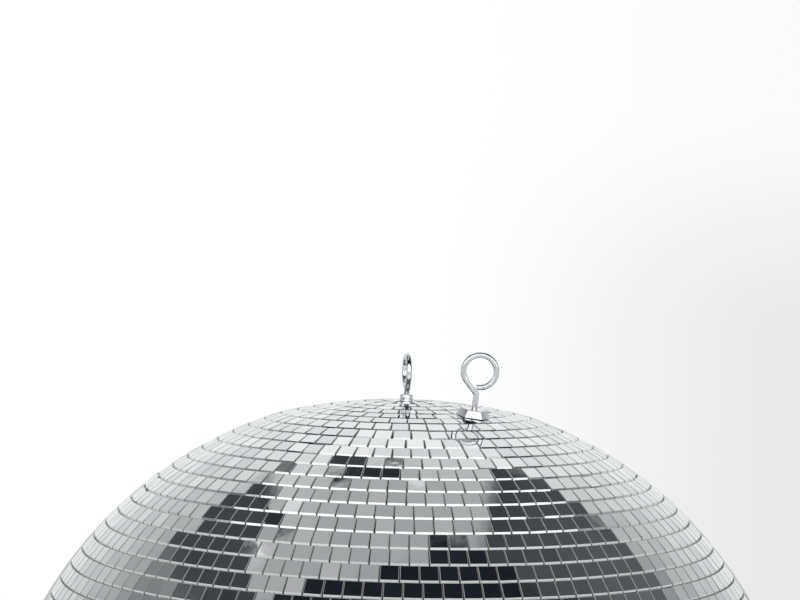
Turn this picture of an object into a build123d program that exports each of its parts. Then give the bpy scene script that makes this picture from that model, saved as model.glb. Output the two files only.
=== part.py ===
from build123d import *
from math import atan2, cos, degrees, hypot, radians, sin, sqrt
import os

# Driving dimensions, in millimetres and degrees.
ball_radius = 250.0  # to the mirror faces
crown_angle = 18.0  # half angle of the flatter crown at each pole
crown_drop = 3.0  # how far a pole lies inside the true sphere
pole_start = 0.4  # sections start just off the axis, inside the hole drilled at each pole
ring_count = 74  # rings of mirror tiles from pole to pole
rings_per_band = 3
tile_thickness = 2.0
tile_joint = 0.47  # open joint between two rings
skin_depth = 2.2  # tiles and their adhesive
core_wall = 3.0
glue_gap = 0.1
plate_wall = 2.0
plate_angle = 17.5
lap_height = 24.0  # joint ring inside the seam of the two halves
lap_wall = 3.0

wire_radius = 1.75
eye_radius = 9.75  # centre line of the eye's round
eye_bend_radius = 2.2
eye_cut_angle = -82.0  # where the round ends, beside its own shank
main_eye_height = 17.8  # eye centre above the mirror face
main_eye_turn = 98.0  # about its shank, from facing front
safety_eye_height = 27.2
safety_eye_polar = 14.4  # angle from the pole
safety_eye_azimuth = -50.0  # from +X, so to the front right
thread_radius = 2.0
thread_run_out = 14.7  # from the eye centre down to the start of the thread
nut_bore_radius = 2.05
hole_radius = 2.4
nut_flats = 7.0
nut_height = 3.2
collar_radius = 3.0  # plastic insert of the self-locking nut
collar_height = 1.8
nut_chamfer = 0.4
washer_radius = 6.0
washer_height = 1.0
bolt_end = 3.0  # thread that stands out of the inner nut
bush_radius = 4.8
bush_proud = 0.1
boss_flats = 18.0
boss_height = 4.5
boss_taper = 24.0
boss_spigot_radius = 4.0
boss_spigot_hole = 4.4
rivet_count = 4
rivet_polar = 8.7
rivet_head_radius = 3.6
rivet_radius = 2.0
rivet_tail_radius = 3.4
rivet_head_height = 1.6
rivet_tail_height = 1.4
rivet_sink = 0.2
rivet_play = 0.08
centre_tile = 7.2

# The origin is the inside top of the main eye, where a hook bears.
face_pole = ball_radius - crown_drop
centre_z = -(eye_radius - wire_radius) - main_eye_height - face_pole
section = Plane(origin=(0, 0, centre_z), x_dir=(1, 0, 0), z_dir=(0, -1, 0))
crown_rim = ball_radius * sin(radians(crown_angle))
crown_rise = face_pole - ball_radius * cos(radians(crown_angle))
crown_radius = (crown_rim**2 + crown_rise**2) / (2 * crown_rise)
crown_centre = face_pole - crown_radius
ring_pitch = 180.0 / (ring_count + 1)
core_depth = skin_depth + core_wall
plate_depth = core_depth + glue_gap
washer_depth = plate_depth + plate_wall + glue_gap
inner_nut_depth = washer_depth + washer_height


def skin_point(polar, depth):
    """Point of the section at an angle from the upper pole, this deep below the mirror faces."""
    from_pole = radians(min(polar, 180.0 - polar))
    reach = ball_radius
    if degrees(from_pole) < crown_angle:
        reach = crown_centre * cos(from_pole) + sqrt(crown_radius**2 - (crown_centre * sin(from_pole)) ** 2)
    side = 1 if polar <= 90.0 else -1
    return ((reach - depth) * sin(from_pole), side * (reach - depth) * cos(from_pole))


def crown_plane(polar, azimuth, depth):
    """Plane that lies on the upper crown, facing outwards, its x direction to the right."""
    across, up = skin_point(polar, depth)
    length = hypot(across, up - crown_centre)
    slope = across / length
    turn = radians(azimuth)
    origin = (across * cos(turn), across * sin(turn), centre_z + up)
    normal = (slope * cos(turn), slope * sin(turn), (up - crown_centre) / length)
    return Plane(origin=origin, x_dir=(normal[2], 0, -normal[0]), z_dir=normal)


main_face = crown_plane(0, 0, 0)
safety_face = crown_plane(safety_eye_polar, safety_eye_azimuth, 0)
rivet_planes = [
    crown_plane(rivet_polar, safety_eye_azimuth + 360.0 / rivet_count * (number + 0.5), skin_depth)
    for number in range(rivet_count)
]


def save(builder, label):
    builder.part.label = label
    export_step(builder.part, f"parts/{label}.step")


def drill(face, radius, depth):
    """Takes a round hole out of the part being built, square to one face."""
    with Locations(face.offset(1.0).location):
        Cylinder(
            radius,
            depth + 1.0,
            align=(Align.CENTER, Align.CENTER, Align.MAX),
            mode=Mode.SUBTRACT,
        )


def rivet_section(plane, play):
    """Half section of a countersunk rivet, grown by the play of its hole."""
    tail_top = -(core_wall + 2 * glue_gap + plate_wall)
    head_bottom = -rivet_sink - rivet_head_height
    upright = Plane(origin=plane.origin, x_dir=plane.x_dir, z_dir=-plane.y_dir)
    with BuildSketch(upright) as half:
        with BuildLine():
            Polyline(
                (0, -rivet_sink + play),
                (rivet_head_radius + play, -rivet_sink + play),
                (rivet_radius + play, head_bottom),
                (rivet_radius + play, tail_top),
                (rivet_tail_radius + play, tail_top),
                (rivet_tail_radius + play, tail_top - rivet_tail_height),
                (0, tail_top - rivet_tail_height),
                close=True,
            )
        make_face()
    return half.sketch


def core_section():
    """Section of the upper half core: two arcs outside, two arcs inside, a flat seam."""
    seam = glue_gap / 2
    turns = (pole_start, crown_angle / 2, crown_angle, 50.0)
    outer = [skin_point(turn, skin_depth) for turn in turns]
    inner = [skin_point(turn, core_depth) for turn in turns]
    outer_seam = (sqrt((ball_radius - skin_depth) ** 2 - seam**2), seam)
    inner_seam = (sqrt((ball_radius - core_depth) ** 2 - seam**2), seam)
    with BuildSketch(section) as half:
        with BuildLine():
            ThreePointArc(*outer[:3])
            ThreePointArc(*outer[2:], outer_seam)
            Line(outer_seam, inner_seam)
            ThreePointArc(inner_seam, *inner[:1:-1])
            ThreePointArc(*inner[2::-1])
            Line(inner[0], outer[0])
        make_face()
    return half.sketch


def eye_bolt(face, turn, height, foot):
    """Wire bent into an open eye on a threaded shank that stands on the face."""
    upright = Plane(origin=face.origin, x_dir=face.x_dir, z_dir=face.z_dir).rotated((0, 0, turn))
    ring_plane = Plane(
        origin=face.origin + face.z_dir * height, x_dir=upright.x_dir, z_dir=upright.x_dir.cross(face.z_dir)
    )
    corner = -eye_radius * sqrt(2)
    with BuildPart() as bolt:
        with BuildLine(ring_plane) as path:
            FilletPolyline(
                (0, -thread_run_out),
                (0, corner),
                (corner / 2, corner / 2),
                radius=eye_bend_radius,
            )
            CenterArc((0, 0), eye_radius, 225, eye_cut_angle - 225)
        with BuildSketch(face.offset(height - thread_run_out)):
            Circle(wire_radius)
        sweep(path=path.wires()[0])
        with BuildSketch(face.offset(-foot)):
            Circle(thread_radius)
        extrude(amount=foot + height - thread_run_out)
        chamfer(bolt.faces().sort_by(Axis.Z)[0].edges(), nut_chamfer)
    return bolt


def inner_hardware(face, label):
    """Washer and self-locking nut under the plate."""
    with BuildPart() as washer:
        with BuildSketch(face.offset(-inner_nut_depth)):
            Circle(washer_radius)
            Circle(hole_radius, mode=Mode.SUBTRACT)
        extrude(amount=washer_height)
    save(washer, f"{label}_inner_washer")
    nut_face = face.offset(-inner_nut_depth)
    with BuildPart() as nut:
        with BuildSketch(nut_face):
            RegularPolygon(nut_flats / 2, 6, major_radius=False)
        extrude(amount=-nut_height)
        with BuildSketch(nut_face.offset(-nut_height)):
            Circle(collar_radius)
        extrude(amount=-collar_height)
        drill(nut_face, nut_bore_radius, nut_height + collar_height + 1.0)
    save(nut, f"{label}_inner_nut")


os.makedirs("parts", exist_ok=True)
inner_nut_end = inner_nut_depth + nut_height + collar_height
bolt_foot = inner_nut_end + bolt_end

# Moulded core in two halves from one mould, each with a hole at its pole, and a lap ring
# glued inside the seam.
with BuildPart() as upper_core:
    revolve(core_section(), axis=Axis.Z)
    drill(main_face, hole_radius, core_depth + 1.0)
    drill(safety_face, hole_radius, core_depth + 1.0)
    for rivet_plane in rivet_planes:
        revolve(
            rivet_section(rivet_plane, rivet_play),
            axis=Axis(rivet_plane.origin, rivet_plane.z_dir),
            mode=Mode.SUBTRACT,
        )
        drill(rivet_plane, rivet_head_radius + rivet_play, rivet_sink)
save(upper_core, "core_upper_shell")

with BuildPart() as lower_core:
    revolve(core_section(), axis=Axis.Z)
    drill(main_face, hole_radius, core_depth + 1.0)
    mirror(about=Plane.XY.offset(centre_z), mode=Mode.REPLACE)
save(lower_core, "core_lower_shell")

lap_radius = sqrt((ball_radius - core_depth) ** 2 - (lap_height / 2) ** 2) - glue_gap
with BuildPart() as lap_ring:
    with BuildSketch(Plane.XY.offset(centre_z - lap_height / 2)):
        Circle(lap_radius)
        Circle(lap_radius - lap_wall, mode=Mode.SUBTRACT)
    extrude(amount=lap_height)
save(lap_ring, "core_joint_ring")

# Dished steel plate inside the crown, and the countersunk rivets that hold it.
plate_top = [skin_point(turn, plate_depth) for turn in (pole_start, plate_angle / 2, plate_angle)]
plate_under = [skin_point(turn, plate_depth + plate_wall) for turn in (plate_angle, plate_angle / 2, pole_start)]
with BuildPart() as crown_plate:
    with BuildSketch(section):
        with BuildLine():
            ThreePointArc(*plate_top)
            Line(plate_top[-1], plate_under[0])
            ThreePointArc(*plate_under)
            Line(plate_under[-1], plate_top[0])
        make_face()
    revolve(axis=Axis.Z)
    drill(main_face, hole_radius, washer_depth + 1.0)
    drill(safety_face, hole_radius, washer_depth + 1.0)
    for rivet_plane in rivet_planes:
        drill(rivet_plane, rivet_radius + rivet_play, washer_depth)
save(crown_plate, "crown_plate")

with BuildPart() as crown_rivets:
    for rivet_plane in rivet_planes:
        revolve(rivet_section(rivet_plane, 0), axis=Axis(rivet_plane.origin, rivet_plane.z_dir))
save(crown_rivets, "crown_rivets")

# Main eye at the pole: bush through the tiles, lock nut on it, washer and nut inside.
with BuildPart() as main_bush:
    with BuildSketch(main_face.offset(-skin_depth)):
        Circle(bush_radius)
        Circle(nut_bore_radius, mode=Mode.SUBTRACT)
    extrude(amount=skin_depth + bush_proud)
save(main_bush, "main_bush")

with BuildPart() as main_lock_nut:
    with BuildSketch(main_face.offset(bush_proud)):
        RegularPolygon(nut_flats / 2, 6, major_radius=False)
    extrude(amount=nut_height)
    with BuildSketch(main_face.offset(bush_proud)):
        Circle(nut_flats / 2 + nut_chamfer)
    extrude(amount=nut_height, mode=Mode.INTERSECT)
    drill(main_face.offset(bush_proud + nut_height), nut_bore_radius, nut_height + 1.0)
save(main_lock_nut, "main_lock_nut")

save(eye_bolt(main_face, main_eye_turn, main_eye_height, bolt_foot), "main_eye_bolt")
inner_hardware(main_face, "main")

# Safety eye beside it: a tapered hexagon boss on the tiles, washer and nut inside.
with BuildPart() as safety_boss:
    with BuildSketch(safety_face.offset(glue_gap)):
        RegularPolygon(boss_flats / 2, 6, major_radius=False)
    extrude(amount=boss_height, taper=boss_taper)
    with BuildSketch(safety_face.offset(glue_gap)):
        Circle(boss_spigot_radius)
    extrude(amount=-skin_depth - glue_gap / 2)
    drill(safety_face.offset(boss_height + 1.0), nut_bore_radius, boss_height + skin_depth + 3.0)
save(safety_boss, "safety_hex_boss")

save(eye_bolt(safety_face, 0, safety_eye_height, bolt_foot), "safety_eye_bolt")
inner_hardware(safety_face, "safety")

# Mirror rings, each a flat-faced cone of tiles, in bands of a few rings from the top down.
half_joint = degrees(tile_joint / 2 / ball_radius)
for first in range(0, ring_count, rings_per_band):
    rings = range(first, min(first + rings_per_band, ring_count))
    with BuildPart() as band:
        for ring in rings:
            upper = (ring + 0.5) * ring_pitch + half_joint
            lower = (ring + 1.5) * ring_pitch - half_joint
            with BuildSketch(section):
                with BuildLine():
                    Polyline(
                        skin_point(upper, 0),
                        skin_point(lower, 0),
                        skin_point(lower, tile_thickness),
                        skin_point(upper, tile_thickness),
                        close=True,
                    )
                make_face()
            revolve(axis=Axis.Z)
            if upper < safety_eye_polar < lower:
                drill(safety_face, boss_spigot_hole, skin_depth)
    save(band, f"mirror_band_{first // rings_per_band + 1:02d}")

# The bottom pole is closed by one small square tile.
with BuildPart() as bottom_tile:
    with BuildSketch(Plane.XY.offset(centre_z - face_pole)):
        Rectangle(centre_tile, centre_tile)
    extrude(amount=tile_thickness)
save(bottom_tile, "bottom_centre_tile")
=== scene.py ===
import math
import random

import bmesh
import bpy
import numpy as np
from mathutils import Matrix, Vector


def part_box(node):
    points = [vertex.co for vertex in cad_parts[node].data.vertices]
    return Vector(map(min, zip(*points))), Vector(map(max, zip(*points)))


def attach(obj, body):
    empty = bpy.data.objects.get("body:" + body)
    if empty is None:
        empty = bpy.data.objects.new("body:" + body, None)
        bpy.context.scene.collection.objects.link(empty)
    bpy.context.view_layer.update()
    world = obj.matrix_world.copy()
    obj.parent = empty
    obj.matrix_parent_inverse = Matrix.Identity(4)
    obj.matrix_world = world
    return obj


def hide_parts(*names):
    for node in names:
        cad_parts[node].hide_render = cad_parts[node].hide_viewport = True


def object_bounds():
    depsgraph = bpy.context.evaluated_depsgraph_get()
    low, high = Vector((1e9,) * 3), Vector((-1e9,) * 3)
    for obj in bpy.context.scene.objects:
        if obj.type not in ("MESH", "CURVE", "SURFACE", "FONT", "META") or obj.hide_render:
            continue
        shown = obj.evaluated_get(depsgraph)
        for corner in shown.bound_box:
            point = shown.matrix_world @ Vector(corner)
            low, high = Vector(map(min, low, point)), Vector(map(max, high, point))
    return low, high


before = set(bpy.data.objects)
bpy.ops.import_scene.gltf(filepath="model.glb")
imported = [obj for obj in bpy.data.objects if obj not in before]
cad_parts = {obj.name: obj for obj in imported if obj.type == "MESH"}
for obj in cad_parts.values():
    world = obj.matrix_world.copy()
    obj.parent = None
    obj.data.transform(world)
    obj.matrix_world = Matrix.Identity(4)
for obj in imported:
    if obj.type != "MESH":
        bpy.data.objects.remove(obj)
cadLow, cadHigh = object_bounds()
mm = 0.001
print("frame loaded with", len(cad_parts), "nodes")

# the ball's shape, and where its centre is in the frame
ball = {
    "radius": 250 * mm,  # to the mirror faces
    "crownAngle": 18.0,  # half angle of the flatter crown at each pole
    "crownDrop": 3 * mm,
    "rings": 74,
    "ringsPerBand": 3,
    "bushProud": 0.1 * mm,
}
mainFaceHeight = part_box("main_bush")[1].z - ball["bushProud"]
ballCentre = (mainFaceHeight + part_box("bottom_centre_tile")[0].z) / 2
facePole = ball["radius"] - ball["crownDrop"]
crownRim = ball["radius"] * math.sin(math.radians(ball["crownAngle"]))
crownRise = facePole - ball["radius"] * math.cos(math.radians(ball["crownAngle"]))
crownRadius = (crownRim**2 + crownRise**2) / (2 * crownRise)
crownMiddle = facePole - crownRadius
ringPitch = 180.0 / (ball["rings"] + 1)


def skinPoint(polar):
    # across from the axis and up from the centre, for an angle from the upper pole
    fromPole = math.radians(min(polar, 180.0 - polar))
    reach = ball["radius"]
    if math.degrees(fromPole) < ball["crownAngle"]:
        across = crownMiddle * math.sin(fromPole)
        reach = crownMiddle * math.cos(fromPole) + math.sqrt(crownRadius**2 - across**2)
    side = 1 if polar <= 90 else -1
    return reach * math.sin(fromPole), side * reach * math.cos(fromPole)


def crownPlace(polar, azimuth, turn=0.0):
    # a place on the upper crown: z straight out of the skin, x to the right
    across, up = skinPoint(polar)
    slope = across / math.hypot(across, up - crownMiddle)
    angle = math.radians(azimuth)
    out = Vector((slope * math.cos(angle), slope * math.sin(angle), math.sqrt(1 - slope**2)))
    right = Vector((out.z, 0, -out.x)).normalized()
    spun = right * math.cos(math.radians(turn)) + out.cross(right) * math.sin(math.radians(turn))
    place = Matrix((spun, out.cross(spun), out)).transposed().to_4x4()
    place.translation = (across * math.cos(angle), across * math.sin(angle), ballCentre + up)
    return place


# the camera: a long lens a little above the ball, the crown near the foot of the frame
cameraPlan = {
    "elevation": 15.0,
    "distance": 1.2143,  # from the ball's centre
    "lens": 85.47,
    "drop": 14.72,  # how far the ball's centre lies under the lens axis
    "aside": 0.0935,  # and to the left of it
    "roll": 1.4,
}


def setCamera():
    elevation = math.radians(cameraPlan["elevation"])
    roll = math.radians(cameraPlan["roll"])
    sight = Vector((0, math.cos(elevation), -math.sin(elevation)))
    upright = Vector((0, math.sin(elevation), math.cos(elevation)))
    level = Vector((1, 0, 0))
    world = Matrix((
        level * math.cos(roll) + upright * math.sin(roll),
        sight,
        upright * math.cos(roll) - level * math.sin(roll),
    )).transposed()
    aim = Vector((
        -math.tan(math.radians(cameraPlan["aside"])),
        1,
        -math.tan(math.radians(cameraPlan["drop"])),
    )).normalized()
    across = Vector((aim.y, -aim.x, 0)).normalized()
    seen = Matrix((across, aim, across.cross(aim))).transposed()
    turn = world @ seen.transposed()
    data = bpy.data.cameras.new("camera")
    data.lens = cameraPlan["lens"]
    data.sensor_width = 36
    data.clip_start, data.clip_end = 0.01, 50
    camera = bpy.data.objects.new("camera", data)
    bpy.context.scene.collection.objects.link(camera)
    axes = Matrix((turn.col[0], turn.col[2], -turn.col[1])).transposed()
    camera.matrix_world = Matrix.Translation(
        Vector((0, 0, ballCentre)) - sight * cameraPlan["distance"]
    ) @ axes.to_4x4()
    bpy.context.scene.camera = camera


setCamera()
print("camera set")


# small helpers for modelling by operators
def clearPick():
    if bpy.context.object and bpy.context.object.mode != "OBJECT":
        bpy.ops.object.mode_set(mode="OBJECT")
    bpy.ops.object.select_all(action="DESELECT")


def pick(piece, kind, test):
    # selects the vertices, edges or faces of the piece in edit mode that pass the test
    bpy.ops.mesh.select_mode(type=kind)
    bpy.ops.mesh.select_all(action="DESELECT")
    shape = bmesh.from_edit_mesh(piece.data)
    for part in {"VERT": shape.verts, "EDGE": shape.edges, "FACE": shape.faces}[kind]:
        if test(part):
            part.select_set(True)
    shape.select_flush_mode()
    bmesh.update_edit_mesh(piece.data)


def midpoint(edge):
    return (edge.verts[0].co + edge.verts[1].co) / 2


def tall(edge):
    return abs(edge.verts[0].co.z - edge.verts[1].co.z)


def started(name):
    piece = bpy.context.object
    piece.name = name
    piece.data.name = name
    bpy.ops.object.transform_apply(location=True, rotation=True, scale=True)
    return piece


def keepOnly(piece):
    clearPick()
    piece.select_set(True)
    bpy.context.view_layer.objects.active = piece


def cutWith(piece, tool, action):
    keepOnly(piece)
    step = piece.modifiers.new("cut", "BOOLEAN")
    step.operation, step.object, step.solver = action, tool, "EXACT"
    bpy.ops.object.modifier_apply(modifier=step.name)
    bpy.data.objects.remove(tool)


def softenEdges(piece, width, segments=2, angle=30):
    keepOnly(piece)
    step = piece.modifiers.new("soften", "BEVEL")
    step.width, step.segments, step.limit_method = width, segments, "ANGLE"
    step.angle_limit = math.radians(angle)
    bpy.ops.object.modifier_apply(modifier=step.name)


def finishPiece(piece, place, smooth=32):
    # outward faces, smooth where the shape is round, and its place in its mesh
    keepOnly(piece)
    bpy.ops.object.mode_set(mode="EDIT")
    bpy.ops.mesh.select_all(action="SELECT")
    bpy.ops.mesh.remove_doubles(threshold=0.002 * mm)
    bpy.ops.mesh.normals_make_consistent(inside=False)
    bpy.ops.object.mode_set(mode="OBJECT")
    bpy.ops.object.shade_smooth_by_angle(angle=math.radians(smooth))
    piece.data.transform(place)
    piece.data.update()
    return piece


# shader effects that several finishes share
def newGroup(name, inputs, outputs):
    group = bpy.data.node_groups.new(name, "ShaderNodeTree")
    for label, value in inputs:
        socket = group.interface.new_socket(label, in_out="INPUT", socket_type="NodeSocketFloat")
        socket.default_value = value
    for label in outputs:
        group.interface.new_socket(label, in_out="OUTPUT", socket_type="NodeSocketFloat")
    return group, group.nodes.new("NodeGroupInput"), group.nodes.new("NodeGroupOutput")


def addNode(tree, kind, **settings):
    node = tree.nodes.new(kind)
    for key, value in settings.items():
        setattr(node, key, value)
    return node


def feed(tree, source, target):
    # a plain number goes in the socket, anything else is linked to it
    if isinstance(source, (int, float)):
        target.default_value = source
    else:
        tree.links.new(source, target)


def sums(tree, operation, first, second=None, third=None):
    node = addNode(tree, "ShaderNodeMath", operation=operation)
    for socket, value in zip(node.inputs, (first, second, third)):
        if value is not None:
            feed(tree, value, socket)
    return node.outputs[0]


def ramped(tree, value, low, high, toLow=0.0, toHigh=1.0):
    node = addNode(tree, "ShaderNodeMapRange", interpolation_type="SMOOTHSTEP")
    for socket, given in zip(node.inputs, (value, low, high, toLow, toHigh)):
        feed(tree, given, socket)
    return node.outputs[0]


def noiseOf(tree, vector, scale, detail=3.0, rough=0.55):
    node = addNode(tree, "ShaderNodeTexNoise")
    tree.links.new(vector, node.inputs["Vector"])
    feed(tree, scale, node.inputs["Scale"])
    node.inputs["Detail"].default_value = detail
    node.inputs["Roughness"].default_value = rough
    return node.outputs["Fac"]


def buildHandling():
    # smudges, fine scratches, dust specks and grain, each from 0 to 1
    group, given, made = newGroup(
        "handling",
        [
            ("smudge size", 60.0),
            ("scratch size", 900.0),
            ("dust size", 1500.0),
            ("dust amount", 0.2),
        ],
        ["smudge", "scratch", "dust", "grain"],
    )
    place = addNode(group, "ShaderNodeTexCoord").outputs["Object"]
    cloud = noiseOf(group, place, given.outputs["smudge size"], 4.0, 0.6)
    feed(group, ramped(group, cloud, 0.38, 0.7), made.inputs["smudge"])
    stretch = addNode(group, "ShaderNodeMapping")
    stretch.inputs["Scale"].default_value = (1.0, 0.12, 0.35)
    stretch.inputs["Rotation"].default_value = (0.4, 0.7, 0.9)
    group.links.new(place, stretch.inputs["Vector"])
    lines = noiseOf(group, stretch.outputs[0], given.outputs["scratch size"], 2.0, 0.5)
    feed(group, ramped(group, lines, 0.60, 0.72), made.inputs["scratch"])
    cells = addNode(group, "ShaderNodeTexVoronoi")
    group.links.new(place, cells.inputs["Vector"])
    feed(group, given.outputs["dust size"], cells.inputs["Scale"])
    speck = ramped(group, cells.outputs["Distance"], 0.10, 0.24, 1.0, 0.0)
    chosen = sums(group, "LESS_THAN", cells.outputs["Color"], given.outputs["dust amount"])
    feed(group, sums(group, "MULTIPLY", speck, chosen), made.inputs["dust"])
    feed(group, noiseOf(group, place, given.outputs["dust size"], 2.0, 0.6), made.inputs["grain"])
    return group


handling = buildHandling()


def newFinish(name):
    finish = bpy.data.materials.new(name)
    finish.use_nodes = True
    tree = finish.node_tree
    return finish, tree, tree.nodes["Principled BSDF"]


def handled(tree, smudgeSize, scratchSize, dustSize, dustAmount):
    node = addNode(tree, "ShaderNodeGroup", node_tree=handling)
    for label, value in zip(
        ("smudge size", "scratch size", "dust size", "dust amount"),
        (smudgeSize, scratchSize, dustSize, dustAmount),
    ):
        node.inputs[label].default_value = value
    return node.outputs


def blendColours(tree, amount, first, second):
    node = addNode(tree, "ShaderNodeMix", data_type="RGBA")
    feed(tree, amount, node.inputs["Factor"])
    for socket, colour in ((node.inputs["A"], first), (node.inputs["B"], second)):
        if isinstance(colour, tuple):
            socket.default_value = (*colour, 1)
        else:
            tree.links.new(colour, socket)
    return node.outputs["Result"]


def roughen(tree, shader, height, strength, distance):
    bump = addNode(tree, "ShaderNodeBump")
    bump.inputs["Strength"].default_value = strength
    bump.inputs["Distance"].default_value = distance
    tree.links.new(height, bump.inputs["Height"])
    tree.links.new(bump.outputs["Normal"], shader.inputs["Normal"])


mirrorLook = {
    "bright": (0.95, 0.955, 0.96),
    "dull": (0.76, 0.78, 0.79),
    "polish": 0.012,
    "smudged": 0.06,
    "silverLoss": (0.30, 0.31, 0.31),  # darker silver right at a cut edge
    "lossFrom": 0.470,  # from the tile's middle, as a share of its side
    "lossTo": 0.486,
    "lossRagged": 0.03,
    "dust": (0.72, 0.72, 0.71),
    "dustShown": 0.5,
    "floatScale": 160.0,  # the slow waves of float glass
    "floatDepth": 0.02 * mm,
}


def mirrorFinish():
    finish, tree, shader = newFinish("silvered glass")
    marks = handled(tree, 38.0, 700.0, 900.0, 0.10)
    tone = addNode(tree, "ShaderNodeAttribute", attribute_name="tileTone")
    sheet = blendColours(tree, tone.outputs["Fac"], mirrorLook["dull"], mirrorLook["bright"])
    flat = addNode(tree, "ShaderNodeSeparateXYZ")
    tree.links.new(addNode(tree, "ShaderNodeTexCoord").outputs["UV"], flat.inputs[0])
    sides = [
        sums(tree, "ABSOLUTE", sums(tree, "SUBTRACT", flat.outputs[axis], 0.5)) for axis in (0, 1)
    ]
    nearEdge = sums(tree, "MAXIMUM", *sides)
    ragged = sums(tree, "MULTIPLY_ADD", marks["grain"], mirrorLook["lossRagged"], nearEdge)
    lost = ramped(tree, ragged, mirrorLook["lossFrom"], mirrorLook["lossTo"])
    worn = blendColours(tree, lost, sheet, mirrorLook["silverLoss"])
    shown = sums(tree, "MULTIPLY", marks["dust"], mirrorLook["dustShown"])
    dusted = blendColours(tree, shown, worn, mirrorLook["dust"])
    tree.links.new(dusted, shader.inputs["Base Color"])
    shader.inputs["Metallic"].default_value = 1.0
    cloudy = sums(
        tree, "MULTIPLY_ADD", marks["smudge"], mirrorLook["smudged"], mirrorLook["polish"]
    )
    speckled = sums(tree, "MULTIPLY_ADD", marks["dust"], 0.10, cloudy)
    scored = sums(tree, "MULTIPLY_ADD", marks["scratch"], 0.03, speckled)
    feed(tree, scored, shader.inputs["Roughness"])
    place = addNode(tree, "ShaderNodeTexCoord").outputs["Object"]
    waves = noiseOf(tree, place, mirrorLook["floatScale"], 1.0)
    roughen(tree, shader, waves, 0.35, mirrorLook["floatDepth"])
    return finish


def cutGlassFinish(name, pale, deep, polish):
    finish, tree, shader = newFinish(name)
    marks = handled(tree, 400.0, 2500.0, 3000.0, 0.25)
    tree.links.new(blendColours(tree, marks["grain"], pale, deep), shader.inputs["Base Color"])
    feed(tree, sums(tree, "MULTIPLY_ADD", marks["grain"], 0.3, polish), shader.inputs["Roughness"])
    shader.inputs["Specular IOR Level"].default_value = 0.7
    roughen(tree, shader, marks["grain"], 0.5, 0.05 * mm)
    return finish


def snappedGlassFinish():
    # the snapped edge is bright with the silver seen through it
    finish, tree, shader = newFinish("snapped glass edge")
    marks = handled(tree, 300.0, 1800.0, 2600.0, 0.15)
    tree.links.new(
        blendColours(tree, marks["grain"], (0.98, 1.0, 0.99), (0.86, 0.92, 0.91)),
        shader.inputs["Base Color"],
    )
    shader.inputs["Metallic"].default_value = 1.0
    feed(tree, sums(tree, "MULTIPLY_ADD", marks["grain"], 0.2, 0.05), shader.inputs["Roughness"])
    roughen(tree, shader, marks["scratch"], 0.3, 0.03 * mm)
    return finish


def backPaintFinish():
    finish, tree, shader = newFinish("mirror back paint")
    marks = handled(tree, 200.0, 1200.0, 2000.0, 0.3)
    tree.links.new(
        blendColours(tree, marks["smudge"], (0.24, 0.25, 0.26), (0.16, 0.17, 0.18)),
        shader.inputs["Base Color"],
    )
    feed(tree, sums(tree, "MULTIPLY_ADD", marks["grain"], 0.2, 0.5), shader.inputs["Roughness"])
    roughen(tree, shader, marks["grain"], 0.4, 0.03 * mm)
    return finish


def metalFinish(name, bright, dull, polish, worn, brushed=0.03):
    finish, tree, shader = newFinish(name)
    marks = handled(tree, 260.0, 1600.0, 3200.0, 0.12)
    plain = blendColours(tree, marks["smudge"], bright, dull)
    scored = blendColours(tree, sums(tree, "MULTIPLY", marks["scratch"], 0.6), plain, worn)
    tree.links.new(scored, shader.inputs["Base Color"])
    shader.inputs["Metallic"].default_value = 1.0
    cloudy = sums(tree, "MULTIPLY_ADD", marks["smudge"], 0.10, polish)
    speckled = sums(tree, "MULTIPLY_ADD", marks["dust"], 0.3, cloudy)
    rough = sums(tree, "MULTIPLY_ADD", marks["scratch"], 0.12, speckled)
    feed(tree, rough, shader.inputs["Roughness"])
    relief = sums(tree, "MULTIPLY_ADD", marks["scratch"], -0.6, marks["grain"])
    roughen(tree, shader, relief, 0.35, brushed * mm)
    return finish


def plasticFinish():
    finish, tree, shader = newFinish("moulded core plastic")
    marks = handled(tree, 30.0, 500.0, 1200.0, 0.3)
    base = blendColours(tree, marks["smudge"], (0.030, 0.031, 0.034), (0.062, 0.064, 0.068))
    specks = sums(tree, "MULTIPLY", marks["dust"], 0.4)
    glued = blendColours(tree, specks, base, (0.22, 0.21, 0.19))  # specks of tile glue
    tree.links.new(glued, shader.inputs["Base Color"])
    cloudy = sums(tree, "MULTIPLY_ADD", marks["smudge"], 0.25, 0.42)
    feed(tree, cloudy, shader.inputs["Roughness"])
    roughen(tree, shader, marks["grain"], 0.5, 0.08 * mm)
    return finish


silveredGlass = mirrorFinish()
cutGlass = cutGlassFinish(
    "ground glass edge", (0.40, 0.43, 0.42), (0.26, 0.29, 0.28), 0.12
)
snappedGlass = snappedGlassFinish()
backPaint = backPaintFinish()
zincPlate = metalFinish(
    "zinc plate", (0.94, 0.965, 0.97), (0.80, 0.86, 0.87), 0.05, (0.50, 0.52, 0.52)
)
platedSteel = metalFinish(
    "pressed steel", (0.58, 0.58, 0.57), (0.42, 0.43, 0.43), 0.28, (0.70, 0.70, 0.68), 0.06
)
rivetAluminium = metalFinish(
    "rivet aluminium", (0.84, 0.85, 0.86), (0.70, 0.71, 0.72), 0.24, (0.92, 0.92, 0.92), 0.04
)
corePlastic = plasticFinish()
print("finishes mixed")


def dress(piece, *finishes):
    piece.data.materials.clear()
    for finish in finishes:
        piece.data.materials.append(finish)


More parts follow.
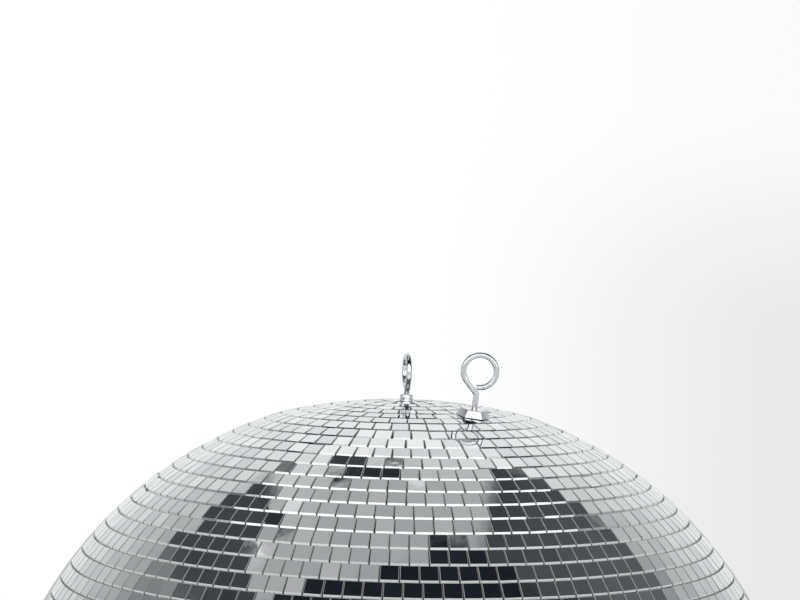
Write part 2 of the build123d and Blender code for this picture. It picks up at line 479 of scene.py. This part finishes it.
# the mirror tile, cut once and laid on every ring
mirrorFace, groundEdge, paintedBack, lowerEdge = range(4)  # the order its finishes are put on
tile = {
    "side": 10.0 * mm,
    "thickness": 2.0 * mm,
    "joint": 0.42 * mm,
    "arris": 0.30 * mm,  # ground edge round the face
    "lowerArris": 0.95 * mm,  # wider on the edge away from the upper pole
    "corner": 0.22 * mm,
    "nickEvery": 23,  # one tile in so many has a nicked corner
    "nick": 1.1 * mm,
    "tilt": 0.5,  # degrees
    "twist": 0.5,
    "sunk": 0.07 * mm,
    "slip": 0.05 * mm,
    "seed": 411,
    "bottomTone": 0.6,
}


def kindOfFace(normal):
    if normal.z > 0.99:
        return mirrorFace
    if normal.z < -0.99:
        return paintedBack
    faceDown = normal.y < -0.2 and abs(normal.x) < 0.2 and normal.z > -0.2
    return lowerEdge if faceDown else groundEdge


def cutTile(nicked):
    clearPick()
    bpy.ops.mesh.primitive_cube_add(size=1, location=(0, 0, -tile["thickness"] / 2))
    bpy.context.object.scale = (tile["side"], tile["side"], tile["thickness"])
    piece = started("tile pattern")
    bpy.ops.object.mode_set(mode="EDIT")
    if nicked:
        half = tile["side"] / 2
        bpy.ops.mesh.select_all(action="SELECT")
        bpy.ops.mesh.bisect(
            plane_co=(half - tile["nick"], half, 0),
            plane_no=(0.62, 0.76, 0.18),
            use_fill=True,
            clear_outer=True,
        )
    rim = 0.01 * mm - tile["side"] / 2
    top = -0.01 * mm
    pick(piece, "EDGE", lambda e: midpoint(e).y < rim and midpoint(e).z > top)
    bpy.ops.mesh.bevel(offset=tile["lowerArris"], segments=1, affect="EDGES")
    pick(piece, "EDGE", lambda e: tall(e) > tile["thickness"] / 3 and abs(midpoint(e).x) > 3 * mm)
    bpy.ops.mesh.bevel(offset=tile["corner"], segments=1, affect="EDGES")
    inner = rim + tile["lowerArris"] * 1.1
    pick(piece, "EDGE", lambda e: min(v.co.z for v in e.verts) > top and midpoint(e).y > inner)
    bpy.ops.mesh.bevel(offset=tile["arris"], segments=1, affect="EDGES")
    bpy.ops.object.mode_set(mode="OBJECT")
    shape = piece.data
    points = np.array([v.co for v in shape.vertices])
    loops = [list(f.vertices) for f in shape.polygons]
    kinds = [kindOfFace(face.normal) for face in shape.polygons]
    bpy.data.objects.remove(piece)
    return points, loops, kinds


plainTile = cutTile(False)
nickedTile = cutTile(True)
bossAzimuth, bossPolar = -50.0, 14.4  # the safety eye's boss takes one tile's place


def layRing(ring, chance, points, loops, kinds, tones, flats):
    # one ring of tiles, each narrower towards the nearer pole
    upperAcross, upperUp = skinPoint((ring + 0.5) * ringPitch)
    lowerAcross, lowerUp = skinPoint((ring + 1.5) * ringPitch)
    middle = (upperAcross + lowerAcross) / 2
    count = max(5, round(2 * math.pi * middle / (tile["side"] + tile["joint"])))
    holdsBoss = (ring + 0.5) * ringPitch < bossPolar < (ring + 1.5) * ringPitch
    start = math.radians(bossAzimuth) if holdsBoss else chance.random() * 2 * math.pi
    down = Vector((lowerAcross - upperAcross, 0, lowerUp - upperUp))
    length = down.length - tile["joint"]
    down.normalize()
    span = 2 * math.tan(math.pi / count)
    room = [min(tile["side"], across * span - tile["joint"] * 0.9) for across in (
        upperAcross + 0.25 * mm, lowerAcross + 0.25 * mm)]
    if ring < ball["rings"] / 2:
        room[1] = max(room[1], room[0])
    for number in range(count):
        if holdsBoss and number == 0:
            continue
        nicked = chance.randrange(tile["nickEvery"]) == 0
        shape, faces, sorts = nickedTile if nicked else plainTile
        co = shape.copy()
        if nicked and chance.random() < 0.5:
            co[:, :2] = -co[:, :2]
        flat = co[:, :2] / tile["side"] + 0.5
        width = np.interp(co[:, 1], (-tile["side"] / 2, tile["side"] / 2), (room[1], room[0]))
        co[:, 0] *= width / tile["side"]
        co[:, 1] *= length / tile["side"]
        angle = start + 2 * math.pi * number / count
        angle += chance.gauss(0, tile["slip"]) / middle
        outward = Vector((math.cos(angle), math.sin(angle), 0))
        sideways = Vector((-math.sin(angle), math.cos(angle), 0))
        upwards = -(outward * down.x + Vector((0, 0, down.z)))
        facing = sideways.cross(upwards)
        lean = Matrix.Rotation(math.radians(chance.gauss(0, tile["tilt"])), 3, sideways)
        tip = Matrix.Rotation(math.radians(chance.gauss(0, tile["tilt"])), 3, upwards)
        spun = Matrix.Rotation(math.radians(chance.gauss(0, tile["twist"])), 3, facing)
        axes = np.array(lean @ tip @ spun @ Matrix((sideways, upwards, facing)).transposed())
        spot = outward * middle + Vector((0, 0, ballCentre + (upperUp + lowerUp) / 2))
        spot -= facing * chance.random() * tile["sunk"]
        first = sum(len(p) for p in points)
        points.append(co @ axes.T + np.array(spot))
        loops.extend([[v + first for v in face] for face in faces])
        kinds.extend(sorts)
        tones.extend([chance.random()] * len(co))
        flats.append(flat)


def layBand(number):
    chance = random.Random(tile["seed"] + number)
    points, loops, kinds, tones, flats = [], [], [], [], []
    first = (number - 1) * ball["ringsPerBand"]
    for ring in range(first, min(first + ball["ringsPerBand"], ball["rings"])):
        layRing(ring, chance, points, loops, kinds, tones, flats)
    return sewTiles(f"tiles_band_{number:02d}", points, loops, kinds, tones, flats)


def sewTiles(name, points, loops, kinds, tones, flats):
    shape = bpy.data.meshes.new(name)
    shape.from_pydata(np.concatenate(points).tolist(), [], loops)
    shape.polygons.foreach_set("use_smooth", [False] * len(kinds))
    shape.attributes.new("tileTone", "FLOAT", "POINT").data.foreach_set("value", tones)
    corners = np.zeros(len(shape.loops), dtype=np.int32)
    shape.loops.foreach_get("vertex_index", corners)
    sheet = shape.uv_layers.new(name="face of the tile")
    sheet.uv.foreach_set("vector", np.concatenate(flats)[corners].ravel())
    shape.update()
    piece = bpy.data.objects.new(name, shape)
    bpy.context.scene.collection.objects.link(piece)
    dress(piece, silveredGlass, cutGlass, backPaint, snappedGlass)
    shape.polygons.foreach_set("material_index", kinds)  # after dressing, which clears them
    shape.update()
    return piece


tileTotal = 0
for number in range(1, -(-ball["rings"] // ball["ringsPerBand"]) + 1):
    band = layBand(number)
    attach(band, "ball")
    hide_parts(f"mirror_band_{number:02d}")
    tileTotal += len(band.data.polygons)
print("rings laid,", tileTotal, "faces")


def layBottomTile():
    low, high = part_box("bottom_centre_tile")
    size = high - low
    points, loops, kinds = plainTile
    flat = points[:, :2] / tile["side"] + 0.5
    co = points * np.array((size.x / tile["side"], size.y / tile["side"], 1.0))
    co = co * np.array((1.0, -1.0, -1.0)) + np.array((0, 0, low.z))
    return sewTiles("tile_bottom", [co], loops, kinds, [tile["bottomTone"]] * len(co), [flat])


bottomTile = layBottomTile()
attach(bottomTile, "ball")
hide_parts("bottom_centre_tile")

# the bent wire eyes
eye = {
    "wire": 1.75 * mm,
    "round": 9.75 * mm,  # centre line of the eye
    "bend": 2.2 * mm,
    "tailReach": -94.0,  # before its end is cut along the neck
    "tailGap": 0.12 * mm,
    "tailBelow": 6.0 * mm,  # the tail's faces are this far under the eye's centre
    "tailPast": 3.0 * mm,  # and no further than this on the neck's side
    "runOut": 14.7 * mm,  # from the eye's centre down to the thread
    "threadCrest": 2.0 * mm,
    "threadRoot": 1.66 * mm,
    "threadPitch": 0.7 * mm,
    "sides": 28,
}


def turnThread(foot, top):
    # one turn of the thread's profile, screwed up the shank
    clearPick()
    bpy.ops.mesh.primitive_circle_add(vertices=5, radius=eye["threadPitch"], fill_type="NOTHING")
    piece = started("thread pattern")
    root, crest, pitch = eye["threadRoot"], eye["threadCrest"], eye["threadPitch"]
    bpy.ops.object.mode_set(mode="EDIT")
    shape = bmesh.from_edit_mesh(piece.data)
    shape.verts.ensure_lookup_table()
    profile = ((root, 0), (root, 0.12), (crest, 0.46), (crest, 0.66), (root, 1.0))
    for point, (across, up) in zip(shape.verts, profile):
        point.co = (across, 0, foot + up * pitch)
    shape.edges.ensure_lookup_table()
    closing = [e for e in shape.edges if {e.verts[0].index, e.verts[1].index} == {0, 4}]
    bmesh.ops.delete(shape, geom=closing, context="EDGES_FACES")
    bmesh.update_edit_mesh(piece.data)
    bpy.ops.object.mode_set(mode="OBJECT")
    keepOnly(piece)
    step = piece.modifiers.new("thread", "SCREW")
    step.axis, step.screw_offset = "Z", pitch
    step.iterations = int((top - foot) / pitch) - 1
    step.steps = step.render_steps = 20
    step.use_merge_vertices, step.merge_threshold = True, 0.001 * mm
    bpy.ops.object.modifier_apply(modifier=step.name)
    return piece


def inTail(spot, height):
    # the end of the round, from a little before its lowest point
    away = math.hypot(spot.x, spot.z - height)
    low = spot.z < height - eye["tailBelow"]
    return away < eye["round"] + eye["wire"] and low and spot.x > -eye["tailPast"]


def bendEye(name, height, foot, plain, place):
    thread = turnThread(-foot, height - eye["runOut"] - plain)
    clearPick()
    bpy.ops.mesh.primitive_circle_add(
        vertices=eye["sides"],
        radius=eye["threadRoot"],
        fill_type="NOTHING",
        location=(0, 0, -foot),
    )
    piece = started(name)
    bpy.ops.object.mode_set(mode="EDIT")
    bpy.ops.mesh.select_mode(type="EDGE")
    bpy.ops.mesh.select_all(action="SELECT")
    shoulder = height - eye["runOut"] - plain - 1.2 * mm
    bpy.ops.mesh.extrude_region_move(TRANSFORM_OT_translate={"value": (0, 0, foot + shoulder)})
    bpy.ops.mesh.extrude_region_move(TRANSFORM_OT_translate={"value": (0, 0, 0.5 * mm)})
    grow = eye["wire"] / eye["threadRoot"]
    bpy.ops.transform.resize(value=(grow, grow, 1), center_override=(0, 0, shoulder))
    bpy.ops.mesh.extrude_region_move(TRANSFORM_OT_translate={"value": (0, 0, plain + 0.7 * mm)})
    bpy.ops.mesh.spin(
        steps=8, angle=math.radians(45), axis=(0, 1, 0),
        center=(-eye["bend"], 0, height - eye["runOut"]),
    )
    straight = eye["round"] * (math.sqrt(2) - 1 / math.sqrt(2)) * math.sqrt(2)
    straight -= eye["bend"] * math.tan(math.radians(22.5))
    run = straight / math.sqrt(2)
    bpy.ops.mesh.extrude_region_move(TRANSFORM_OT_translate={"value": (-run, 0, run)})
    bpy.ops.mesh.spin(
        steps=84, angle=math.radians(225 - eye["tailReach"]), axis=(0, -1, 0),
        center=(0, 0, height),
    )
    neckLine = Vector((1, 0, 1)).normalized()  # square to the sloping neck
    corner = Vector((0, 0, height - eye["round"] * math.sqrt(2)))
    pick(piece, "FACE", lambda f: inTail(f.calc_center_median(), height))
    bpy.ops.mesh.bisect(
        plane_co=corner + neckLine * (eye["wire"] + eye["tailGap"]),
        plane_no=neckLine,
        use_fill=True,
        clear_inner=True,
    )
    bpy.ops.mesh.select_all(action="SELECT")
    bpy.ops.mesh.fill_holes(sides=0)
    bpy.ops.object.mode_set(mode="OBJECT")
    keepOnly(piece)
    thread.select_set(True)
    bpy.ops.object.join()
    return finishPiece(piece, place, 40)


mainPlan = {"height": 17.8 * mm, "turn": 98.0, "plain": 0.0}
safetyPlan = {
    "height": 27.2 * mm,
    "polar": bossPolar,
    "azimuth": bossAzimuth,
    "plain": 5.0 * mm,  # more smooth shank above its thread
}
mainPlace = crownPlace(0, 0, mainPlan["turn"])
safetyPlace = crownPlace(safetyPlan["polar"], safetyPlan["azimuth"])
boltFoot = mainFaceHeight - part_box("main_eye_bolt")[0].z

mainEye = bendEye("main_eye", mainPlan["height"], boltFoot, mainPlan["plain"], mainPlace)
dress(mainEye, zincPlate)
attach(mainEye, "main_eye")
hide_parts("main_eye_bolt")

safetyEye = bendEye("safety_eye", safetyPlan["height"], boltFoot, safetyPlan["plain"], safetyPlace)
dress(safetyEye, zincPlate)
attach(safetyEye, "safety_eye")
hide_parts("safety_eye_bolt")
print("eyes bent")

# the lock nut, the boss under the safety eye and the bush
nut = {
    "flats": 7.0 * mm,
    "height": 3.2 * mm,
    "chamfer": 0.4 * mm,
    "bore": 2.05 * mm,
    "soft": 0.12 * mm,
}
boss = {
    "flats": 18.0 * mm,
    "height": 4.5 * mm,
    "taper": 24.0,
    "clear": 0.1 * mm,  # over the tiles
    "spigot": 4.0 * mm,
    "spigotDepth": 2.15 * mm,
    "soft": 0.55 * mm,
    "land": 1.3 * mm,
    "dishWall": 0.5 * mm,
    "dish": 0.5 * mm,  # shallow recess round the shank
}
bush = {"radius": 4.8 * mm, "depth": 2.2 * mm, "soft": 0.06 * mm}
cornerShare = 1 / math.cos(math.radians(30))


def bored(piece, radius, low, high, sides=48):
    clearPick()
    bpy.ops.mesh.primitive_cylinder_add(
        vertices=sides, radius=radius, depth=high - low, location=(0, 0, (high + low) / 2)
    )
    cutWith(piece, started("drill"), "DIFFERENCE")


def makeNut():
    clearPick()
    base = ball["bushProud"]
    bpy.ops.mesh.primitive_cylinder_add(
        vertices=6,
        radius=nut["flats"] / 2 * cornerShare,
        depth=nut["height"],
        location=(0, 0, base + nut["height"] / 2),
        rotation=(0, 0, math.radians(30)),
    )
    piece = started("lock_nut")
    bpy.ops.mesh.primitive_cylinder_add(
        vertices=72,
        radius=nut["flats"] / 2 * cornerShare,
        depth=nut["height"],
        location=(0, 0, base + nut["height"] / 2),
    )
    blank = started("turned blank")
    bpy.ops.object.mode_set(mode="EDIT")
    pick(blank, "EDGE", lambda e: tall(e) < 0.01 * mm)
    bpy.ops.mesh.bevel(offset=nut["chamfer"], segments=1, affect="EDGES")
    bpy.ops.object.mode_set(mode="OBJECT")
    cutWith(piece, blank, "INTERSECT")
    bored(piece, nut["bore"], base - mm, base + nut["height"] + mm)
    softenEdges(piece, nut["soft"], 2, 35)
    return finishPiece(piece, crownPlace(0, 0))


def makeBoss():
    clearPick()
    topFlats = boss["flats"] - 2 * boss["height"] * math.tan(math.radians(boss["taper"]))
    bpy.ops.mesh.primitive_cone_add(
        vertices=6,
        radius1=boss["flats"] / 2 * cornerShare,
        radius2=topFlats / 2 * cornerShare,
        depth=boss["height"],
        location=(0, 0, boss["clear"] + boss["height"] / 2),
        rotation=(0, 0, math.radians(30)),
    )
    piece = started("safety_boss")
    bpy.ops.object.mode_set(mode="EDIT")
    top = boss["clear"] + boss["height"]
    pick(piece, "FACE", lambda f: f.normal.z > 0.9 and f.calc_center_median().z > top - 0.1 * mm)
    bpy.ops.mesh.inset(thickness=boss["land"], depth=0)
    bpy.ops.mesh.inset(thickness=boss["dishWall"], depth=-boss["dish"])
    bpy.ops.object.mode_set(mode="OBJECT")
    softenEdges(piece, boss["soft"], 3, 22)
    clearPick()
    bpy.ops.mesh.primitive_cylinder_add(
        vertices=48, radius=boss["spigot"], depth=boss["spigotDepth"] + mm,
        location=(0, 0, (mm - boss["spigotDepth"]) / 2),
    )
    spigot = started("spigot")
    cutWith(piece, spigot, "UNION")
    bored(piece, nut["bore"], -boss["spigotDepth"] - mm, top + mm)
    return finishPiece(piece, safetyPlace)


def makeBush():
    clearPick()
    height = bush["depth"] + ball["bushProud"]
    bpy.ops.mesh.primitive_cylinder_add(
        vertices=64, radius=bush["radius"], depth=height,
        location=(0, 0, ball["bushProud"] - height / 2),
    )
    piece = started("pole_bush")
    bored(piece, nut["bore"], -bush["depth"] - mm, ball["bushProud"] + mm)
    softenEdges(piece, bush["soft"], 2, 40)
    return finishPiece(piece, crownPlace(0, 0))


for piece, body, node, slot, finish in (
    (makeNut(), "lock_nut", "main_lock_nut", "zinc_plate", zincPlate),
    (makeBoss(), "ball", "safety_hex_boss", "zinc_plate", zincPlate),
    (makeBush(), "ball", "main_bush", "zinc_plate", zincPlate),
):
    dress(piece, finish)
    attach(piece, body)
    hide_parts(node)
print("nut, boss and bush made")

# the parts inside keep their own shapes and get their finishes
insideFinishes = {
    "core_upper_shell": corePlastic,
    "core_lower_shell": corePlastic,
    "core_joint_ring": corePlastic,
    "crown_plate": platedSteel,
    "crown_rivets": rivetAluminium,
    "main_inner_washer": zincPlate,
    "main_inner_nut": zincPlate,
    "safety_inner_washer": zincPlate,
    "safety_inner_nut": zincPlate,
}
for node, finish in insideFinishes.items():
    dress(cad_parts[node], finish)
print("inside parts dressed")

# the stage: a pale floor, and the studio that the mirrors see
stagePlan = {
    "floorReach": 2.0,
    "fadeFrom": 0.75,
    "fadeTo": 1.75,
    "floorTone": (0.70, 0.70, 0.70),
    "floorGap": 0.5 * mm,
    "keyStrength": 46.0,
    "keySize": 1.6,
    "keyPlace": (-0.35, 0.35, 1.8),
}


def layFloor():
    clearPick()
    bpy.ops.mesh.primitive_circle_add(
        vertices=96,
        radius=stagePlan["floorReach"],
        fill_type="NGON",
        location=(0, 0, cadLow.z - stagePlan["floorGap"]),
    )
    piece = started("floor")
    finish, tree, shader = newFinish("studio floor")
    marks = handled(tree, 1.5, 40.0, 60.0, 0.1)
    tone = stagePlan["floorTone"]
    paler = tuple(min(1.0, channel * 1.05) for channel in tone)
    tree.links.new(blendColours(tree, marks["smudge"], tone, paler), shader.inputs["Base Color"])
    shader.inputs["Roughness"].default_value = 0.7
    place = addNode(tree, "ShaderNodeTexCoord").outputs["Object"]
    length = addNode(tree, "ShaderNodeVectorMath", operation="LENGTH")
    flat = addNode(tree, "ShaderNodeVectorMath", operation="MULTIPLY")
    flat.inputs[1].default_value = (1, 1, 0)
    tree.links.new(place, flat.inputs[0])
    tree.links.new(flat.outputs[0], length.inputs[0])
    outward = length.outputs["Value"]
    fade = ramped(tree, outward, stagePlan["fadeFrom"], stagePlan["fadeTo"], 1.0, 0.0)
    tree.links.new(fade, shader.inputs["Alpha"])
    dress(piece, finish)


studio = {
    "panel": 0.44,  # grey panel over the ball, brighter towards the wall behind
    "panelFar": 0.74,
    "panelLeft": (-0.66, 0.30),  # its left edge, and how far it draws in per step back
    "panelRight": 0.31,
    "panelFront": -0.17,
    "panelLeftFront": -0.27,
    "rightDark": (0.030, 0.075),  # beside the panel, and what is added per step out
    "leftDark": 0.060,
    "leftPale": 0.25,
    "frontDark": 0.016,
    "wallLine": 0.70,  # where the wall behind meets the overhead, in steps back
    "wallBright": 0.89,
    "wallSide": 0.17,
    "frontWall": 1.15,
    "frontRise": 1.05,
    "below": 0.60,
    "backdropShade": 0.19,  # the soft grey to the right, seen by the camera only
    "blueCast": (-0.004, 0.0, 0.006),  # the dark room is a little blue
}
# dark and bright fittings under the panel: left, right, front, back and tone
fittings = (
    (-0.28, -0.03, 0.38, 0.47, 0.03),
    (-0.24, -0.12, 0.50, 0.66, 0.05),
    (-0.10, -0.03, 0.50, 0.60, 0.12),
    (-0.46, -0.39, 0.60, 0.76, 0.05),
    (-0.34, -0.29, 0.66, 0.74, 0.10),
    (0.00, 0.05, 0.68, 0.80, 0.16),
    (-0.64, -0.57, -0.02, 0.13, 0.90),
    (-0.43, -0.40, 0.28, 0.52, 0.80),
    (-0.50, -0.47, 0.10, 0.45, 0.03),
    (0.04, 0.07, 0.30, 0.45, 0.70),
    (0.10, 0.31, -0.17, -0.02, 0.02),
)


def mixedValue(tree, amount, first, second):
    node = addNode(tree, "ShaderNodeMix", data_type="FLOAT")
    for number, value in ((0, amount), (2, first), (3, second)):
        feed(tree, value, node.inputs[number])
    return node.outputs[0]


def lightStudio():
    world = bpy.data.worlds.new("studio")
    bpy.context.scene.world = world
    world.use_nodes = True
    tree = world.node_tree
    tree.nodes.clear()
    where = addNode(tree, "ShaderNodeSeparateXYZ")
    tree.links.new(addNode(tree, "ShaderNodeTexCoord").outputs["Generated"], where.inputs[0])
    x, y, z = where.outputs
    high = sums(tree, "MAXIMUM", z, 0.02)
    across = sums(tree, "DIVIDE", x, high)
    along = sums(tree, "DIVIDE", y, high)
    squares = [sums(tree, "MULTIPLY", part, part) for part in (x, y)]
    level = sums(tree, "SQRT", sums(tree, "ADD", *squares))
    facing = sums(tree, "DIVIDE", y, sums(tree, "MAXIMUM", level, 0.001))
    # overhead: dark to the right, paler far to the left
    step, rate = studio["rightDark"]
    right = sums(tree, "MULTIPLY_ADD", sums(tree, "MINIMUM", across, 2.0), rate, step)
    left = ramped(tree, across, -1.28, -1.02, studio["leftPale"], studio["leftDark"])
    tone = mixedValue(tree, ramped(tree, across, -0.1, 0.1), left, right)
    # the grey panel over the ball
    panelTone = ramped(tree, along, 0.30, 0.66, studio["panel"], studio["panelFar"])
    edge, draw = studio["panelLeft"]
    leftEdge = sums(tree, "MULTIPLY_ADD", along, draw, edge)
    inside = ramped(tree, sums(tree, "SUBTRACT", across, leftEdge), -0.01, 0.02)
    inside = sums(tree, "MULTIPLY", inside, ramped(
        tree, across, studio["panelRight"] - 0.01, studio["panelRight"] + 0.01, 1.0, 0.0))
    tone = mixedValue(tree, inside, tone, panelTone)
    for leftSide, rightSide, front, back, shade in fittings:
        held = sums(tree, "MULTIPLY", sums(tree, "GREATER_THAN", across, leftSide),
                    sums(tree, "LESS_THAN", across, rightSide))
        held = sums(tree, "MULTIPLY", held, sums(tree, "GREATER_THAN", along, front))
        held = sums(tree, "MULTIPLY", held, sums(tree, "LESS_THAN", along, back))
        tone = mixedValue(tree, held, tone, shade)
    # the dark front of the overhead
    lip = ramped(tree, across, -0.12, 0.02, studio["panelLeftFront"], studio["panelFront"])
    ahead = ramped(tree, sums(tree, "SUBTRACT", along, lip), -0.02, 0.02, 1.0, 0.0)
    tone = mixedValue(tree, ahead, tone, studio["frontDark"])
    # the wall behind, fading to the sides
    linear = addNode(tree, "ShaderNodeMapRange")
    for socket, given in zip(linear.inputs, (facing, 0.2, 0.95, 0.0, 1.0)):
        feed(tree, given, socket)
    share = sums(tree, "POWER", linear.outputs[0], 1.5)
    wall = mixedValue(tree, share, studio["wallSide"], studio["wallBright"])
    beside = sums(tree, "SUBTRACT", 1.0, share)
    lift = sums(tree, "MULTIPLY", ramped(tree, z, 0.2, 0.62, 0.14, 0.0), beside)
    wall = sums(tree, "ADD", wall, lift)
    tone = mixedValue(
        tree, ramped(tree, along, studio["wallLine"] - 0.02, studio["wallLine"] + 0.03), tone, wall
    )
    nearLevel = ramped(tree, level, 0.84, 0.9)
    sideways = sums(tree, "MULTIPLY", nearLevel, ramped(tree, facing, -0.4, -0.1))
    sideways = sums(tree, "MULTIPLY", sideways, ramped(tree, facing, 0.3, 0.6, 1.0, 0.0))
    tone = mixedValue(tree, sideways, tone, wall)
    # the pale wall behind the camera, low enough to leave the overhead dark
    nearer = sums(tree, "MAXIMUM", sums(tree, "MULTIPLY", y, -1.0), 0.02)
    frontRise = sums(tree, "DIVIDE", z, nearer)
    top = studio["frontRise"]
    onFront = ramped(tree, frontRise, top - 0.15, top + 0.15, 1.0, 0.0)
    onFront = sums(tree, "MULTIPLY", onFront, ramped(tree, facing, -0.34, -0.16, 1.0, 0.0))
    nearFront = ramped(tree, facing, -0.16, 0.02, 1.0, 0.0)
    dimmed = sums(tree, "MULTIPLY", nearFront, ramped(tree, z, 0.62, 0.8, 1.0, 0.0))
    tone = mixedValue(tree, sums(tree, "MULTIPLY", dimmed, 0.75), tone, 0.0)
    tone = mixedValue(tree, onFront, tone, studio["frontWall"])
    tone = mixedValue(tree, ramped(tree, z, -0.06, 0.0, 1.0, 0.0), tone, studio["below"])
    # what the camera itself sees behind the ball: near white, a soft grey to the right
    lowDown = ramped(tree, z, -0.02, 0.1, 1.0, 0.2)
    shade = sums(tree, "MULTIPLY", ramped(tree, x, 0.0, 0.21), lowDown)
    backdrop = sums(tree, "MULTIPLY_ADD", shade, -studio["backdropShade"], 1.0)
    seen = addNode(tree, "ShaderNodeLightPath").outputs["Is Camera Ray"]
    light = addNode(tree, "ShaderNodeBackground")
    joined = addNode(tree, "ShaderNodeCombineColor")
    value = mixedValue(tree, seen, tone, backdrop)
    for socket, cast in zip(joined.inputs, studio["blueCast"]):
        feed(tree, sums(tree, "MAXIMUM", sums(tree, "ADD", value, cast), 0.0), socket)
    tree.links.new(joined.outputs[0], light.inputs["Color"])
    ending = addNode(tree, "ShaderNodeOutputWorld")
    tree.links.new(light.outputs[0], ending.inputs["Surface"])


def hangKeyLight():
    data = bpy.data.lights.new("key light", "AREA")
    data.shape, data.size = "DISK", stagePlan["keySize"]
    data.energy = stagePlan["keyStrength"]
    lamp = bpy.data.objects.new("key light", data)
    bpy.context.scene.collection.objects.link(lamp)
    lamp.location = stagePlan["keyPlace"]
    aim = Vector((0, 0, ballCentre)) - lamp.location
    lamp.rotation_euler = aim.to_track_quat("-Z", "Y").to_euler()
    lamp.visible_glossy = False  # the mirrors see the studio's own panels
    lamp.visible_camera = False


layFloor()
lightStudio()
hangKeyLight()
bpy.context.scene.view_settings.view_transform = "Standard"
print("stage lit")
